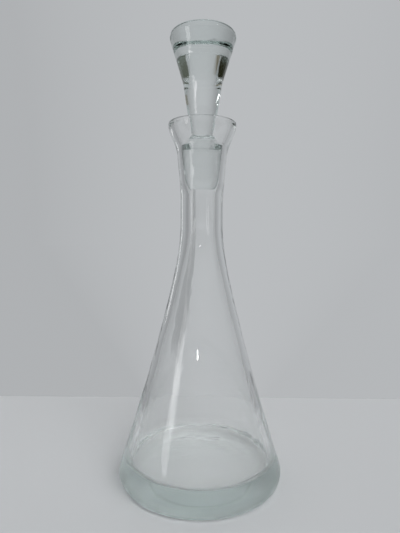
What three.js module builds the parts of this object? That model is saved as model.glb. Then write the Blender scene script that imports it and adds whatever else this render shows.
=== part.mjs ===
// A liquor decanter of clear glass in two pieces: a tall conical flask with a thick base and a
// flared mouth, and a solid stopper whose tapered plug sits in the flask's neck.
// Sizes are in millimetres. +Z is up, and the origin is on the table, under the axis.
import * as THREE from "three";

// Facets round the axis
const facets = 48;

// Foot of the flask: the flat ring that it stands on, round a shallow hollow
const baseRadius = 58.4;
const heelInset = 7;
const heelHeight = 9;
const footWidth = 6.5;
const puntDepth = 2;

// Side of the flask, in the order it goes up: radii, and the height of each stretch
const shoulderRadius = 54.2;
const shoulderRise = 14;
const sideTopRadius = 21.6;
const sideRise = 115;
const sideHollow = 1.3;
const neckRadius = 15;
const throatRise = 44;
const neckRise = 21;
const collarRise = 27.5;
const collarEase = 0.5;
const flareSpread = 3.3;
const flareRise = 11.2;
const lipSpread = 3.1;
const lipRise = 11.3;

// Glass thickness of the flask
const floorThickness = 13.5;
const heelWall = 4.8;
const sideWall = 4.2;
const sideTopWall = 4.6;
const neckWall = 5.4;
const collarWall = 2.4;
const lipWall = 2.8;

// Inside of the flask: the rounded corner of the floor, the ground seat and the ledge under it
const cornerRadius = 5;
const cornerEase = 1;
const seatTopRadius = 15;
const seatBottomRadius = 12.5;
const seatDepth = 13.5;
const seatLength = 22.5;
const ledgeRise = 12.5;
const funnelEase = 3;
const funnelRise = 8;

// Stopper: the plug follows the seat, and the stem and head stand on it
const seatGap = 0.3;
const plugDrop = 1;
const tipInset = 3.8;
const tipEdge = 1.5;
const tipClear = 2.5;
const plugEdge = 0.5;
const waistRadius = 7.7;
const waistRise = 9.5;
const waistEase = 6;
const waistBow = 1.2;
const stemRadius = 10.4;
const stemRise = 12;
const stemEase = 4;
const headFootRadius = 13.6;
const headFootRise = 21.2;
const headFootEase = 3;
const headRadius = 23;
const headLean = 0.315;
const headEase = 3;
const headBand = 0.2;
const headEdge = 5;

const at = (radius, height) => new THREE.Vector2(radius, height);

// A smooth bend that leaves one point towards a corner and arrives at another, without its first point.
const bend = (from, corner, to, steps) =>
  new THREE.QuadraticBezierCurve(from, corner, to).getPoints(steps).slice(1);

// The point at a distance from one point on the way to another
const toward = (from, to, distance) => from.clone().add(to.clone().sub(from).setLength(distance));

// Where the straight line from one point through another reaches a radius.
function meet(from, through, radius) {
  const share = (radius - from.x) / (through.x - from.x);
  return at(radius, from.y + share * (through.y - from.y));
}

// Outer radii from the collar up, which follow the seat that they stand round
const collarRadius = seatTopRadius + collarWall;
const flareRadius = collarRadius + flareSpread;
const mouthRadius = flareRadius + lipSpread;

// Heights of the flask's stretches, each standing on the one below
const shoulderHeight = heelHeight + shoulderRise;
const sideTopHeight = shoulderHeight + sideRise;
const throatHeight = sideTopHeight + throatRise;
const neckTopHeight = throatHeight + neckRise;
const collarHeight = neckTopHeight + collarRise;
const flareHeight = collarHeight + flareRise;
const mouthHeight = flareHeight + lipRise;
const floorHeight = puntDepth + floorThickness;
const seatTopHeight = mouthHeight - seatDepth;
const seatBottomHeight = seatTopHeight - seatLength;

// The side bows in between its ends: this is the corner that its long curve bends towards, moved
// in by a depth of glass.
function sideCorner(depth) {
  const middleRadius = (shoulderRadius + sideTopRadius) / 2 - 2 * sideHollow;
  return at(middleRadius - depth, (shoulderHeight + sideTopHeight) / 2);
}

// Outside of the flask, from the axis under the base to the top of the mouth's outer wall
function flaskOutside() {
  const footRadius = baseRadius - heelInset;
  const footInside = at(footRadius - footWidth, 0);
  const widest = at(baseRadius, heelHeight);
  const shoulder = at(shoulderRadius, shoulderHeight);
  const side = sideCorner(0);
  const sideTop = at(sideTopRadius, sideTopHeight);
  const neckTop = at(neckRadius, neckTopHeight);
  const collar = at(collarRadius, collarHeight);
  const collarEnd = meet(neckTop, collar, collarRadius + collarEase);
  const flare = at(flareRadius, flareHeight);
  return [
    at(0, puntDepth),
    ...bend(at(0, puntDepth), at(footInside.x / 2, puntDepth), footInside, 4),
    at(footRadius, 0),
    ...bend(at(footRadius, 0), at(baseRadius, 0), widest, 5),
    ...bend(widest, meet(side, shoulder, baseRadius), shoulder, 3),
    ...bend(shoulder, side, sideTop, 6),
    ...bend(sideTop, meet(side, sideTop, neckRadius), at(neckRadius, throatHeight), 6),
    neckTop,
    collar,
    ...bend(collar, collarEnd, flare, 4),
    ...bend(flare, meet(collarEnd, flare, mouthRadius), at(mouthRadius, mouthHeight), 4),
  ];
}

// The rounded rim, as half a circle from the outer wall to the inner one, without its first point
function flaskRim() {
  const half = lipWall / 2;
  const arc = new THREE.EllipseCurve(mouthRadius - half, mouthHeight, half, half, 0, Math.PI);
  return arc.getPoints(6).slice(1);
}

// Inside of the flask, from the mouth down through the seat and the bore to the middle of the floor
function flaskInside() {
  const boreRadius = neckRadius - neckWall;
  const mouth = at(mouthRadius - lipWall, mouthHeight);
  const seatTop = at(seatTopRadius, seatTopHeight);
  const seatBottom = at(seatBottomRadius, seatBottomHeight);
  const ledgeCorner = at(seatBottomRadius - seatGap, seatBottomHeight - ledgeRise / 2);
  const boreTop = at(boreRadius, seatBottomHeight - ledgeRise);
  const sideTop = at(sideTopRadius - sideTopWall, sideTopHeight);
  const cornerTop = at(shoulderRadius - heelWall, floorHeight + cornerRadius);
  const side = sideCorner(2 * sideWall - (heelWall + sideTopWall) / 2);
  const floorCorner = at(cornerTop.x + cornerEase, floorHeight);
  return [
    ...bend(mouth, at(mouth.x - funnelEase, seatTopHeight + funnelRise), seatTop, 5),
    seatBottom,
    ...bend(seatBottom, ledgeCorner, boreTop, 4),
    at(boreRadius, throatHeight),
    ...bend(at(boreRadius, throatHeight), meet(side, sideTop, boreRadius), sideTop, 6),
    ...bend(sideTop, side, cornerTop, 6),
    ...bend(cornerTop, floorCorner, at(floorCorner.x - cornerRadius, floorHeight), 4),
    at(0, floorHeight),
  ];
}

// Outline of the stopper, from the middle of the plug's tip to the middle of the head's flat top
function stopperOutline() {
  const plugTopHeight = seatTopHeight - plugDrop;
  const tipHeight = seatBottomHeight - ledgeRise + tipClear;
  const tipTop = at(seatBottomRadius - seatGap, seatBottomHeight);
  const tipRadius = tipTop.x - tipInset;
  const seatTop = at(seatTopRadius - seatGap, seatTopHeight);
  const plugTop = tipTop.clone().lerp(seatTop, 1 - (plugDrop + plugEdge) / seatLength);
  const shoulder = at(plugTop.x - plugEdge, plugTopHeight);
  const waist = at(waistRadius, plugTopHeight + waistRise);
  const bow = at(waistRadius, waist.y + waistBow);
  const stem = at(stemRadius, waist.y + stemRise);
  const stemFoot = toward(stem, bow, stemEase);
  const headFoot = at(headFootRadius, stem.y + headFootRise);
  const stemTop = toward(headFoot, stem, headFootEase);
  const headCorner = at(headRadius, headFoot.y + (headRadius - headFootRadius) / headLean);
  const shoulderFoot = toward(headCorner, headFoot, headEase);
  const headTop = at(headRadius, headCorner.y + headBand);
  const topHeight = headTop.y + headEdge;
  return [
    at(0, tipHeight),
    at(tipRadius, tipHeight),
    ...bend(at(tipRadius, tipHeight), at(tipTop.x - tipEdge, tipHeight), tipTop, 4),
    plugTop,
    shoulder,
    ...bend(shoulder, at(waistRadius, shoulder.y + waistEase), waist, 5),
    ...bend(waist, bow, stemFoot, 3),
    ...bend(stemFoot, stem, toward(stem, headFoot, stemEase), 3),
    stemTop,
    ...bend(stemTop, headFoot, toward(headFoot, headCorner, headFootEase), 3),
    shoulderFoot,
    ...bend(shoulderFoot, headCorner, headTop, 2),
    ...bend(headTop, at(headRadius, topHeight), at(headRadius - headEdge, topHeight), 4),
    at(0, topHeight),
  ];
}

// Turns an outline round the axis into a solid that stands up along +Z.
function turned(outline) {
  return new THREE.LatheGeometry(outline, facets).rotateX(Math.PI / 2);
}

const flaskGlass = new THREE.MeshStandardMaterial({
  color: 0xdfe8e4,
  roughness: 0.05,
  metalness: 0,
  transparent: true,
  opacity: 0.35,
});

const stopperGlass = new THREE.MeshStandardMaterial({
  color: 0xe6ebe8,
  roughness: 0.05,
  metalness: 0,
  transparent: true,
  opacity: 0.4,
});

const flask = new THREE.Mesh(
  turned([...flaskOutside(), ...flaskRim(), ...flaskInside()]),
  flaskGlass,
);
flask.name = "flask";

const stopper = new THREE.Mesh(turned(stopperOutline()), stopperGlass);
stopper.name = "stopper";

const decanter = new THREE.Group();
decanter.add(flask, stopper);

export default decanter;
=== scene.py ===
import math

import bmesh
import bpy
from mathutils import Matrix, Vector


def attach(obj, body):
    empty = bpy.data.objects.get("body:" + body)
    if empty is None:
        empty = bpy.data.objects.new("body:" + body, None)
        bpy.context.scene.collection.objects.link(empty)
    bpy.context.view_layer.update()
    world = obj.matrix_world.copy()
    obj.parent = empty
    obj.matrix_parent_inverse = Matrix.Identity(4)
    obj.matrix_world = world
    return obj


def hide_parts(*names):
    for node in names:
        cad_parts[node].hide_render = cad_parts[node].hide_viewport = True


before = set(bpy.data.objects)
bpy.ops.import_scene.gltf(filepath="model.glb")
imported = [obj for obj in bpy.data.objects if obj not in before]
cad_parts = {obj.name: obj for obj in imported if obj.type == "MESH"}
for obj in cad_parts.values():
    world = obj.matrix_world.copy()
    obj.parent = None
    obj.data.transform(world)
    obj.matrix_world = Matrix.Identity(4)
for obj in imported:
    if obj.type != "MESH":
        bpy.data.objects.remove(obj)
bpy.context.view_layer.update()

# The camera stands a third of a metre from the decanter's axis, a little lower than its neck, and
# looks slightly down, with its frame turned a little.
lens_height = 0.1727
lens_distance = 0.3213
lens_aside = -0.0009
look_down = math.radians(3.4)
frame_turn = math.radians(0.44)
photo_height = 533
focal_pixels = 450
sensor_width = 36
nearest = 0.01
glass_bounces = 32
gloss_bounces = 16

camera = bpy.data.objects.new("camera", bpy.data.cameras.new("camera"))
bpy.context.scene.collection.objects.link(camera)
camera.data.sensor_width = sensor_width
camera.data.lens = sensor_width * focal_pixels / photo_height
camera.data.clip_start = nearest
camera.matrix_world = (
    Matrix.Translation((lens_aside, -lens_distance, lens_height))
    @ Matrix.Rotation(math.pi / 2 - look_down, 4, "X")
    @ Matrix.Rotation(frame_turn, 4, "Z")
)
bpy.context.scene.camera = camera
bpy.context.scene.view_settings.view_transform = "Standard"
bpy.context.scene.cycles.max_bounces = glass_bounces
bpy.context.scene.cycles.transmission_bounces = glass_bounces
bpy.context.scene.cycles.glossy_bounces = gloss_bounces
bpy.context.scene.cycles.blur_glossy = 0


# The flask is one piece of clear soda glass, blown into a mould: a heavy base over a shallow hollow,
# a long cone for a side, a neck, and a cup of a mouth with a fire-polished rim. The seat for the
# plug is ground into the inside of the neck.
base_radius = 0.0584
heel_inset = 0.007
heel_height = 0.009
foot_width = 0.0065
punt_depth = 0.002
shoulder_radius = 0.0542
shoulder_rise = 0.014
side_top_radius = 0.0216
side_rise = 0.115
side_hollow = 0.0013
neck_radius = 0.015
throat_rise = 0.044
neck_rise = 0.021
seat_top_radius = 0.015
seat_bottom_radius = 0.0125
collar_wall = 0.0024
collar_rise = 0.0275
collar_ease = 0.0005
flare_spread = 0.0033
flare_rise = 0.0112
lip_spread = 0.0031
lip_rise = 0.0113
floor_thickness = 0.0135
heel_wall = 0.0048
side_wall = 0.0042
side_top_wall = 0.0046
neck_wall = 0.0054
lip_wall = 0.0028
corner_radius = 0.005
corner_ease = 0.001
seat_depth = 0.0135
seat_length = 0.0225
ledge_rise = 0.0125
funnel_ease = 0.003
funnel_rise = 0.008
seat_gap = 0.0003

collar_radius = seat_top_radius + collar_wall
flare_radius = collar_radius + flare_spread
mouth_radius = flare_radius + lip_spread
shoulder_height = heel_height + shoulder_rise
side_top_height = shoulder_height + side_rise
throat_height = side_top_height + throat_rise
neck_top_height = throat_height + neck_rise
collar_height = neck_top_height + collar_rise
flare_height = collar_height + flare_rise
mouth_height = flare_height + lip_rise
floor_height = punt_depth + floor_thickness
seat_top_height = mouth_height - seat_depth
seat_bottom_height = seat_top_height - seat_length

seat_dullness = 0.08
base_dullness = 0.2
base_matt_height = 0.001
base_clear_height = 0.0085
corner_dullness = 0.25
corner_matt_reach = 0.006
corner_clear_reach = 0.016
# How milky the floor inside turns, and how high up that fades: painted light for what the thick base
# gathers beneath it.
painted_light_haze_strength = 0.15
painted_light_haze_rise = 0.01

glass_index = 1.5
tint_colour = (0, 0.37, 0.28, 1)
tint_strength = 2.7
ripple_scale = 120
ripple_detail = 2
ripple_stretch = (1, 1, 0.12)
flask_ripple = 0.0002


def bend(start, corner, end, steps):
    """A smooth bend from start towards corner and on to end, without its first point."""
    points = []
    for step in range(1, steps + 1):
        t = step / steps
        points.append(tuple(
            (1 - t) ** 2 * a + 2 * t * (1 - t) * b + t * t * c
            for a, b, c in zip(start, corner, end)
        ))
    return points


def meet(start, through, radius):
    """Where the straight line from start through another point reaches a radius."""
    share = (radius - start[0]) / (through[0] - start[0])
    return radius, start[1] + share * (through[1] - start[1])


def side_corner(depth):
    """The corner that the side's long curve bends towards, moved in by a depth of glass."""
    middle_radius = (shoulder_radius + side_top_radius) / 2 - 2 * side_hollow
    return middle_radius - depth, (shoulder_height + side_top_height) / 2


def flask_outside():
    """From the axis under the base to the top of the mouth's outer wall."""
    foot_radius = base_radius - heel_inset
    foot_inside = (foot_radius - foot_width, 0)
    widest = (base_radius, heel_height)
    shoulder = (shoulder_radius, shoulder_height)
    side = side_corner(0)
    side_top = (side_top_radius, side_top_height)
    throat = (neck_radius, throat_height)
    neck_top = (neck_radius, neck_top_height)
    collar = (collar_radius, collar_height)
    collar_end = meet(neck_top, collar, collar_radius + collar_ease)
    flare = (flare_radius, flare_height)
    mouth = (mouth_radius, mouth_height)
    return [
        (0, punt_depth),
        *bend((0, punt_depth), (foot_inside[0] / 2, punt_depth), foot_inside, 16),
        (foot_radius, 0),
        *bend((foot_radius, 0), (base_radius, 0), widest, 20),
        *bend(widest, meet(side, shoulder, base_radius), shoulder, 12),
        *bend(shoulder, side, side_top, 24),
        *bend(side_top, meet(side, side_top, neck_radius), throat, 24),
        neck_top,
        collar,
        *bend(collar, collar_end, flare, 16),
        *bend(flare, meet(collar_end, flare, mouth_radius), mouth, 16),
    ]


def flask_rim():
    """Half a circle over the rim, from the outer wall to the inner one."""
    half = lip_wall / 2
    steps = 16
    return [
        (
            mouth_radius - half + half * math.cos(math.pi * step / steps),
            mouth_height + half * math.sin(math.pi * step / steps),
        )
        for step in range(1, steps + 1)
    ]


def flask_inside():
    """From the mouth down through the seat and the bore to the middle of the floor."""
    bore_radius = neck_radius - neck_wall
    mouth = (mouth_radius - lip_wall, mouth_height)
    seat_top = (seat_top_radius, seat_top_height)
    seat_bottom = (seat_bottom_radius, seat_bottom_height)
    ledge_corner = (seat_bottom_radius - seat_gap, seat_bottom_height - ledge_rise / 2)
    bore_top = (bore_radius, seat_bottom_height - ledge_rise)
    throat = (bore_radius, throat_height)
    side = side_corner(2 * side_wall - (heel_wall + side_top_wall) / 2)
    side_top = (side_top_radius - side_top_wall, side_top_height)
    corner_top = (shoulder_radius - heel_wall, floor_height + corner_radius)
    floor_corner = (corner_top[0] + corner_ease, floor_height)
    floor_edge = floor_corner[0] - corner_radius
    floor_rings = 8
    return [
        *bend(mouth, (mouth[0] - funnel_ease, seat_top_height + funnel_rise), seat_top, 20),
        seat_bottom,
        *bend(seat_bottom, ledge_corner, bore_top, 16),
        throat,
        *bend(throat, meet(side, side_top, bore_radius), side_top, 24),
        *bend(side_top, side, corner_top, 24),
        *bend(corner_top, floor_corner, (floor_edge, floor_height), 16),
        *((floor_edge * (1 - step / floor_rings), floor_height) for step in range(1, floor_rings)),
        (0, floor_height),
    ]


def faded(value, start, end):
    """One up to start, nothing past end, and a straight fall between them."""
    return min(1, max(0, (end - value) / (end - start)))


def flask_dullness(radius, height):
    """Ground in the seat, matt under the base, uneven in the floor's corner, or else polished."""
    if radius <= seat_top_radius and seat_bottom_height <= height <= seat_top_height:
        return seat_dullness
    if height < floor_height:
        return base_dullness * faded(height, base_matt_height, base_clear_height)
    if radius <= shoulder_radius - heel_wall + corner_ease:
        away = math.dist((radius, height), (shoulder_radius - heel_wall, floor_height))
        return corner_dullness * faded(away, corner_matt_reach, corner_clear_reach)
    return 0


def flask_painted_light_haze(radius, height):
    """A milky haze on the floor inside and in its corner, fading out above it: painted light for the
    brightness that the thick base gathers onto the table beneath.
    """
    if height < floor_height or radius > shoulder_radius - heel_wall + corner_ease:
        return 0
    return painted_light_haze_strength * faded(height, floor_height, floor_height + painted_light_haze_rise)


def turned(name, outline, skins):
    """A body turned round the axis from an outline, with the state of its skin kept at each point."""
    around = 192
    crease_angle = math.radians(25)
    corners = []
    rings = []
    for radius, height in outline:
        count = around if radius > 0 else 1
        rings.append(range(len(corners), len(corners) + count))
        for step in range(count):
            angle = 2 * math.pi * step / around
            corners.append((radius * math.cos(angle), radius * math.sin(angle), height))
    faces = []
    for ring, following in zip(rings, rings[1:]):
        for step in range(around):
            after = (step + 1) % around
            face = [ring[step % len(ring)], ring[after % len(ring)]]
            face += [following[after % len(following)], following[step % len(following)]]
            faces.append(list(dict.fromkeys(face)))
    mesh = bpy.data.meshes.new(name)
    mesh.from_pydata(corners, [], faces)
    body = bmesh.new()
    body.from_mesh(mesh)
    bmesh.ops.recalc_face_normals(body, faces=body.faces)
    for face in body.faces:
        face.smooth = True
    for edge in body.edges:
        edge.smooth = edge.calc_face_angle() < crease_angle
    body.to_mesh(mesh)
    body.free()
    for title, skin in skins.items():
        kept = mesh.attributes.new(title, "FLOAT", "POINT")
        for ring, point in zip(rings, outline):
            for corner in ring:
                kept.data[corner].value = skin(*point)
    piece = bpy.data.objects.new(name, mesh)
    bpy.context.scene.collection.objects.link(piece)
    return piece


def combined(tree, operation, *terms):
    """The socket of a node that joins numbers and other sockets by a sum, a product or the like."""
    node = tree.nodes.new("ShaderNodeMath")
    node.operation = operation
    for socket, term in zip(node.inputs, terms):
        if isinstance(term, bpy.types.NodeSocket):
            tree.links.new(term, socket)
        else:
            socket.default_value = term
    return node.outputs["Value"]


def clear_glass(name, ripple_depth):
    """Clear soda glass, grey-green where it is thick, with the long soft ripples of drawn glass."""
    glass = bpy.data.materials.new(name)
    glass.use_nodes = True
    nodes = glass.node_tree.nodes
    links = glass.node_tree.links
    shader = nodes["Principled BSDF"]
    shader.inputs["Base Color"].default_value = (1, 1, 1, 1)
    shader.inputs["Transmission Weight"].default_value = 1
    shader.inputs["IOR"].default_value = glass_index
    dullness = nodes.new("ShaderNodeAttribute")
    dullness.attribute_name = "dullness"
    links.new(dullness.outputs["Fac"], shader.inputs["Roughness"])
    place = nodes.new("ShaderNodeTexCoord")
    drawn = nodes.new("ShaderNodeMapping")
    drawn.inputs["Scale"].default_value = ripple_stretch
    links.new(place.outputs["Object"], drawn.inputs["Vector"])
    waves = nodes.new("ShaderNodeTexNoise")
    waves.inputs["Scale"].default_value = ripple_scale
    waves.inputs["Detail"].default_value = ripple_detail
    links.new(drawn.outputs["Vector"], waves.inputs["Vector"])
    ripple = nodes.new("ShaderNodeBump")
    ripple.inputs["Distance"].default_value = ripple_depth
    links.new(waves.outputs["Fac"], ripple.inputs["Height"])
    links.new(ripple.outputs["Normal"], shader.inputs["Normal"])
    tint = nodes.new("ShaderNodeVolumeAbsorption")
    tint.inputs["Color"].default_value = tint_colour
    tint.inputs["Density"].default_value = tint_strength
    links.new(tint.outputs["Volume"], nodes["Material Output"].inputs["Volume"])
    return glass


flask = turned(
    "flask_glass",
    [*flask_outside(), *flask_rim(), *flask_inside()],
    {"dullness": flask_dullness, "painted_light_haze": flask_painted_light_haze},
)
flask_glass = clear_glass("flask glass", flask_ripple)
# The milky haze lowers the flask's transmission on the floor inside: painted light for the brightness
# gathered under the base.
painted_light_haze = flask_glass.node_tree.nodes.new("ShaderNodeAttribute")
painted_light_haze.attribute_name = "painted_light_haze"
flask_glass.node_tree.links.new(
    combined(flask_glass.node_tree, "SUBTRACT", 1, painted_light_haze.outputs["Fac"]),
    flask_glass.node_tree.nodes["Principled BSDF"].inputs["Transmission Weight"],
)
flask.data.materials.append(flask_glass)
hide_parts("flask")
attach(flask, "flask")


# The stopper is pressed and turned from one solid piece of the same glass: a tapered plug, ground
# to the seat that it drops into, a thin waist, a stem, and a head that widens to a flat cut top.
plug_drop = 0.001
plug_edge = 0.0005
tip_clear = 0.0025
tip_inset = 0.0038
tip_edge = 0.0015
waist_radius = 0.0077
waist_rise = 0.0095
waist_ease = 0.006
waist_bow = 0.0012
stem_radius = 0.0104
stem_rise = 0.012
stem_ease = 0.004
head_foot_radius = 0.0136
head_foot_rise = 0.0212
head_foot_ease = 0.003
head_radius = 0.023
head_lean = 0.315
head_ease = 0.003
head_band = 0.0002
head_edge = 0.005
stopper_ripple = 0.00004

tip_height = seat_bottom_height - ledge_rise + tip_clear
plug_top_height = seat_top_height - plug_drop
waist_height = plug_top_height + waist_rise
stem_height = waist_height + stem_rise
head_foot_height = stem_height + head_foot_rise


def toward(start, end, distance):
    """The point at a distance from start on the way to end."""
    share = distance / math.dist(start, end)
    return start[0] + share * (end[0] - start[0]), start[1] + share * (end[1] - start[1])


def stopper_outline():
    """From the middle of the plug's tip to the middle of the head's flat top."""
    tip_top = (seat_bottom_radius - seat_gap, seat_bottom_height)
    tip_radius = tip_top[0] - tip_inset
    seat_lean = (seat_top_radius - seat_bottom_radius) / (seat_top_height - seat_bottom_height)
    plug_side_height = plug_top_height - plug_edge
    plug_radius = tip_top[0] + seat_lean * (plug_side_height - seat_bottom_height)
    plug_top = (plug_radius - plug_edge, plug_top_height)
    waist = (waist_radius, waist_height)
    bow = (waist_radius, waist_height + waist_bow)
    stem = (stem_radius, stem_height)
    stem_foot = toward(stem, bow, stem_ease)
    head_foot = (head_foot_radius, head_foot_height)
    stem_top = toward(head_foot, stem, head_foot_ease)
    head_corner = (head_radius, head_foot_height + (head_radius - head_foot_radius) / head_lean)
    shoulder_foot = toward(head_corner, head_foot, head_ease)
    head_top = (head_radius, head_corner[1] + head_band)
    top_height = head_top[1] + head_edge
    return [
        (0, tip_height),
        (tip_radius, tip_height),
        *bend((tip_radius, tip_height), (tip_top[0] - tip_edge, tip_height), tip_top, 16),
        (plug_radius, plug_side_height),
        plug_top,
        *bend(plug_top, (waist_radius, plug_top_height + waist_ease), waist, 20),
        *bend(waist, bow, stem_foot, 12),
        *bend(stem_foot, stem, toward(stem, head_foot, stem_ease), 12),
        stem_top,
        *bend(stem_top, head_foot, toward(head_foot, head_corner, head_foot_ease), 12),
        shoulder_foot,
        *bend(shoulder_foot, head_corner, head_top, 16),
        *bend(head_top, (head_radius, top_height), (head_radius - head_edge, top_height), 16),
        (0, top_height),
    ]


def stopper_dullness(radius, height):
    """Ground on the side of the plug, as finely as its seat, and polished elsewhere."""
    return seat_dullness if seat_bottom_height <= height < plug_top_height else 0


stopper = turned("stopper_glass", stopper_outline(), {"dullness": stopper_dullness})
stopper.data.materials.append(clear_glass("stopper glass", stopper_ripple))
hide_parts("stopper")
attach(stopper, "stopper")


# The room is an even pale grey behind the decanter and falls off a little to both sides, as a room
# with a window at one end does, so that the edges of the glass draw themselves. Matt faces get an
# even light from it, with one brighter side.
room_cast = (1, 1.03, 1.06)
room_tones = (
    (0, 0.26), (0.2, 0.34), (0.32, 0.43), (0.42, 0.475), (0.5, 0.485),
    (0.58, 0.49), (0.7, 0.47), (0.8, 0.40), (1, 0.30),
)
plain_from = 0.33
plain_to = 0.7
room_light = 0.55
bright_azimuth = math.radians(155)
bright_elevation = math.radians(25)
bright_light = 6.5
bright_narrowness = 12


def way(azimuth, elevation):
    """The direction at an azimuth from +Y towards +X and an elevation."""
    return Vector((
        math.sin(azimuth) * math.cos(elevation),
        math.cos(azimuth) * math.cos(elevation),
        math.sin(elevation),
    ))


def room_tone(tree, heading):
    """The room's tone by how far a direction leads aside: only the glass sees it fall off far."""
    nodes = tree.nodes
    links = tree.links
    unit = nodes.new("ShaderNodeVectorMath")
    unit.operation = "NORMALIZE"
    links.new(heading, unit.inputs[0])
    parts = nodes.new("ShaderNodeSeparateXYZ")
    links.new(unit.outputs["Vector"], parts.inputs["Vector"])
    across = nodes.new("ShaderNodeMapRange")
    across.inputs["From Min"].default_value = -1
    links.new(parts.outputs["X"], across.inputs["Value"])
    plain = nodes.new("ShaderNodeClamp")
    plain.inputs["Min"].default_value = plain_from
    plain.inputs["Max"].default_value = plain_to
    links.new(across.outputs["Result"], plain.inputs["Value"])
    ray = nodes.new("ShaderNodeLightPath")
    shown = nodes.new("ShaderNodeMix")
    links.new(ray.outputs["Is Camera Ray"], shown.inputs["Factor"])
    links.new(across.outputs["Result"], shown.inputs["A"])
    links.new(plain.outputs["Result"], shown.inputs["B"])
    fall = nodes.new("ShaderNodeValToRGB")
    ramp = fall.color_ramp
    ramp.interpolation = "B_SPLINE"
    while len(ramp.elements) < len(room_tones):
        ramp.elements.new(0.5)
    for element, (at, tone) in zip(ramp.elements, room_tones):
        element.position = at
        element.color = (*(tone * share for share in room_cast), 1)
    links.new(shown.outputs["Result"], fall.inputs["Fac"])
    return fall.outputs["Color"]


room = bpy.data.worlds.new("room")
bpy.context.scene.world = room
room.use_nodes = True
nodes = room.node_tree.nodes
links = room.node_tree.links
seen = nodes["Background"]
heading = nodes.new("ShaderNodeTexCoord")
links.new(room_tone(room.node_tree, heading.outputs["Generated"]), seen.inputs["Color"])
shed = nodes.new("ShaderNodeBackground")
shed.inputs["Color"].default_value = (1, 1, 1, 1)
facing = nodes.new("ShaderNodeVectorMath")
facing.operation = "DOT_PRODUCT"
facing.inputs[1].default_value = way(bright_azimuth, bright_elevation)
links.new(heading.outputs["Generated"], facing.inputs[0])
bright_half = combined(room.node_tree, "MAXIMUM", facing.outputs["Value"], 0)
narrowed = combined(room.node_tree, "POWER", bright_half, bright_narrowness)
strength = combined(room.node_tree, "MULTIPLY_ADD", narrowed, bright_light, room_light)
links.new(strength, shed.inputs["Strength"])
ray = nodes.new("ShaderNodeLightPath")
choose = nodes.new("ShaderNodeMixShader")
links.new(ray.outputs["Diffuse Depth"], choose.inputs["Fac"])
links.new(seen.outputs["Background"], choose.inputs[1])
links.new(shed.outputs["Background"], choose.inputs[2])
links.new(choose.outputs["Shader"], nodes["World Output"].inputs["Surface"])


# The table is a plain pale board. A hand's width behind the decanter it goes on in the tone of the
# room, so that nothing stands up to hide the decanter from behind.
table_back = 0.164
table_edge = 0.0008
table_tone = (0.53, 0.545, 0.56, 1)
floor_reach = 12
floor_gap = 0.0003
dim_from = -0.3
dim_to = -0.6
dim_tone = (0.09, 0.095, 0.09, 1)


def turned_back(tree):
    """One for a ray that has been reflected on its way, nothing for one straight through the glass."""
    ray = tree.nodes.new("ShaderNodeLightPath")
    return combined(tree, "MINIMUM", ray.outputs["Glossy Depth"], 1)


floor_mesh = bpy.data.meshes.new("floor")
floor_mesh.from_pydata(
    [
        (-floor_reach, -floor_reach, -floor_gap),
        (floor_reach, -floor_reach, -floor_gap),
        (floor_reach, floor_reach, -floor_gap),
        (-floor_reach, floor_reach, -floor_gap),
    ],
    [],
    [(0, 1, 2, 3)],
)
floor = bpy.data.objects.new("floor", floor_mesh)
bpy.context.scene.collection.objects.link(floor)
board = bpy.data.materials.new("pale board")
board.use_nodes = True
nodes = board.node_tree.nodes
links = board.node_tree.links
paint = nodes["Principled BSDF"]
paint.inputs["Roughness"].default_value = 1
paint.inputs["Specular IOR Level"].default_value = 0
paint.inputs["Base Color"].default_value = table_tone
place = nodes.new("ShaderNodeNewGeometry")
place_parts = nodes.new("ShaderNodeSeparateXYZ")
links.new(place.outputs["Position"], place_parts.inputs["Vector"])
beyond = nodes.new("ShaderNodeMapRange")
beyond.inputs["From Min"].default_value = table_back - table_edge
beyond.inputs["From Max"].default_value = table_back + table_edge
links.new(place_parts.outputs["Y"], beyond.inputs["Value"])
glow = nodes.new("ShaderNodeEmission")
links.new(room_tone(board.node_tree, place.outputs["Position"]), glow.inputs["Color"])
either = nodes.new("ShaderNodeMixShader")
links.new(beyond.outputs["Result"], either.inputs["Fac"])
links.new(paint.outputs["BSDF"], either.inputs[1])
links.new(glow.outputs["Emission"], either.inputs[2])

# Light that the glass turns back shows the board going on into the dimmer front of the room.
front = nodes.new("ShaderNodeMapRange")
front.inputs["From Min"].default_value = dim_from
front.inputs["From Max"].default_value = dim_to
links.new(place_parts.outputs["Y"], front.inputs["Value"])
dim = nodes.new("ShaderNodeEmission")
dim.inputs["Color"].default_value = dim_tone
shown = nodes.new("ShaderNodeMixShader")
links.new(
    combined(board.node_tree, "MULTIPLY", front.outputs["Result"], turned_back(board.node_tree)),
    shown.inputs["Fac"],
)
links.new(either.outputs["Shader"], shown.inputs[1])
links.new(dim.outputs["Emission"], shown.inputs[2])
links.new(shown.outputs["Shader"], nodes["Material Output"].inputs["Surface"])
floor.data.materials.append(board)


# Soft flat lamps stand round the decanter for the windows and ceiling lights of a room. They leave
# matt faces alone, so all that they draw is the bright strips and spots on the polished glass.
window_wide = 0.28
window_panes = ((0.11, 0.32, 2.6), (0.32, 0.4, 1.7), (0.4, 0.5, 0.9))


def lamp(name, azimuth, elevation, distance, aim_height, wide, high, radiance):
    """A lamp at a distance and under angles in degrees from the point on the axis that it faces."""
    light = bpy.data.lights.new(name, "AREA")
    light.shape = "RECTANGLE"
    light.size = wide
    light.size_y = high
    light.energy = radiance * math.pi * wide * high
    back = way(math.radians(azimuth), math.radians(elevation))
    holder = bpy.data.objects.new(name, light)
    bpy.context.scene.collection.objects.link(holder)
    holder.location = Vector((0, 0, aim_height)) + distance * back
    holder.rotation_euler = back.to_track_quat("Z", "Y").to_euler()
    holder.visible_camera = False
    holder.visible_diffuse = False
    return holder


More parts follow.
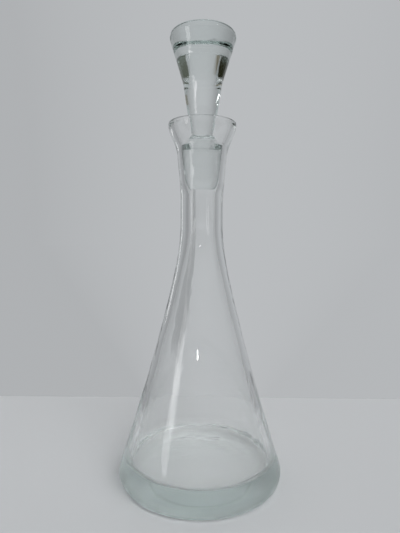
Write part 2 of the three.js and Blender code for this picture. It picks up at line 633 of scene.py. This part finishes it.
for number, (low, high, radiance) in enumerate(window_panes, 1):
    lamp(
        "window_%d" % number,
        azimuth=-127, elevation=0, distance=1.2, aim_height=(low + high) / 2,
        wide=window_wide, high=high - low, radiance=radiance,
    )
left_window = lamp(
    "left_window",
    azimuth=-48, elevation=3.5, distance=1.2, aim_height=0.14, wide=0.2, high=0.16, radiance=1.6,
)
left_window.visible_transmission = False
lamp(
    "spot",
    azimuth=127, elevation=39.5, distance=1.2, aim_height=0.262, wide=0.09, high=0.08, radiance=5,
)
lamp(
    "small_lamp",
    azimuth=-172, elevation=15, distance=1.5, aim_height=0.1, wide=0.03, high=0.015, radiance=120,
)
lamp(
    "high_lamp",
    azimuth=160, elevation=70, distance=1.5, aim_height=0.3, wide=0.06, high=0.06, radiance=60,
)


# Plain oval cards hang beside the stopper and behind the flask, where only the glass shows them. The
# grey card behind is a painted shadow.
# Those beside it show only in light that the glass turns back, so that none is seen through it.
beside = (0, 1, 0)
behind = (1, 0, 0)
card_edge = 0.3


def card(name, centre, side, wide, high, tone):
    """An upright oval card of one tone with a soft edge, which is wide along a side."""
    middle = Vector(centre)
    half_width = wide * Vector(side)
    half_height = high * Vector((0, 0, 1))
    mesh = bpy.data.meshes.new(name)
    mesh.from_pydata(
        [
            middle - half_width - half_height,
            middle + half_width - half_height,
            middle + half_width + half_height,
            middle - half_width + half_height,
        ],
        [],
        [(0, 1, 2, 3)],
    )
    panel = bpy.data.objects.new(name, mesh)
    bpy.context.scene.collection.objects.link(panel)
    felt = bpy.data.materials.new(name)
    felt.use_nodes = True
    nodes = felt.node_tree.nodes
    links = felt.node_tree.links
    nodes.remove(nodes["Principled BSDF"])
    place = nodes.new("ShaderNodeTexCoord")
    centred = nodes.new("ShaderNodeMapping")
    centred.inputs["Location"].default_value = (-centre[0] / wide, -centre[1] / wide, -centre[2] / high)
    centred.inputs["Scale"].default_value = (1 / wide, 1 / wide, 1 / high)
    links.new(place.outputs["Object"], centred.inputs["Vector"])
    oval = nodes.new("ShaderNodeTexGradient")
    oval.gradient_type = "SPHERICAL"
    links.new(centred.outputs["Vector"], oval.inputs["Vector"])
    edge = nodes.new("ShaderNodeMapRange")
    edge.interpolation_type = "SMOOTHSTEP"
    edge.inputs["From Max"].default_value = card_edge
    links.new(oval.outputs["Fac"], edge.inputs["Value"])
    shown = edge.outputs["Result"]
    if side == beside:
        shown = combined(felt.node_tree, "MULTIPLY", shown, turned_back(felt.node_tree))
    clear = nodes.new("ShaderNodeBsdfTransparent")
    plain = nodes.new("ShaderNodeEmission")
    plain.inputs["Color"].default_value = (*tone, 1)
    cover = nodes.new("ShaderNodeMixShader")
    links.new(shown, cover.inputs["Fac"])
    links.new(clear.outputs["BSDF"], cover.inputs[1])
    links.new(plain.outputs["Emission"], cover.inputs[2])
    links.new(cover.outputs["Shader"], nodes["Material Output"].inputs["Surface"])
    panel.data.materials.append(felt)
    panel.visible_camera = False
    panel.visible_diffuse = False
    panel.visible_shadow = False


card("left_flag", (-0.07, 0, 0.292), beside, wide=0.042, high=0.052, tone=(0.055, 0.058, 0.042))
card("right_flag", (0.07, 0, 0.288), beside, wide=0.044, high=0.054, tone=(0.01, 0.01, 0.002))
card("left_dark_flag", (-0.07, -0.042, 0.349), beside, wide=0.021, high=0.018, tone=(0.02, 0.019, 0.01))
card("left_brown_flag", (-0.07, -0.080, 0.373), beside, wide=0.030, high=0.019, tone=(0.2, 0.18, 0.14))
card("right_dark_flag", (0.07, -0.047, 0.350), beside, wide=0.026, high=0.020, tone=(0.12, 0.13, 0.11))
# This grey card behind the flask is a painted shadow: the decanter's own shadow on a wall behind it,
# which only the glass shows.
card("painted_wall_shadow", (-0.040, 0.160, 0.13), behind, wide=0.022, high=0.09, tone=(0.33, 0.34, 0.35))
card("back_glow", (0.30, 0.96, 0.95), behind, wide=0.08, high=0.19, tone=(0.72, 0.72, 0.74))
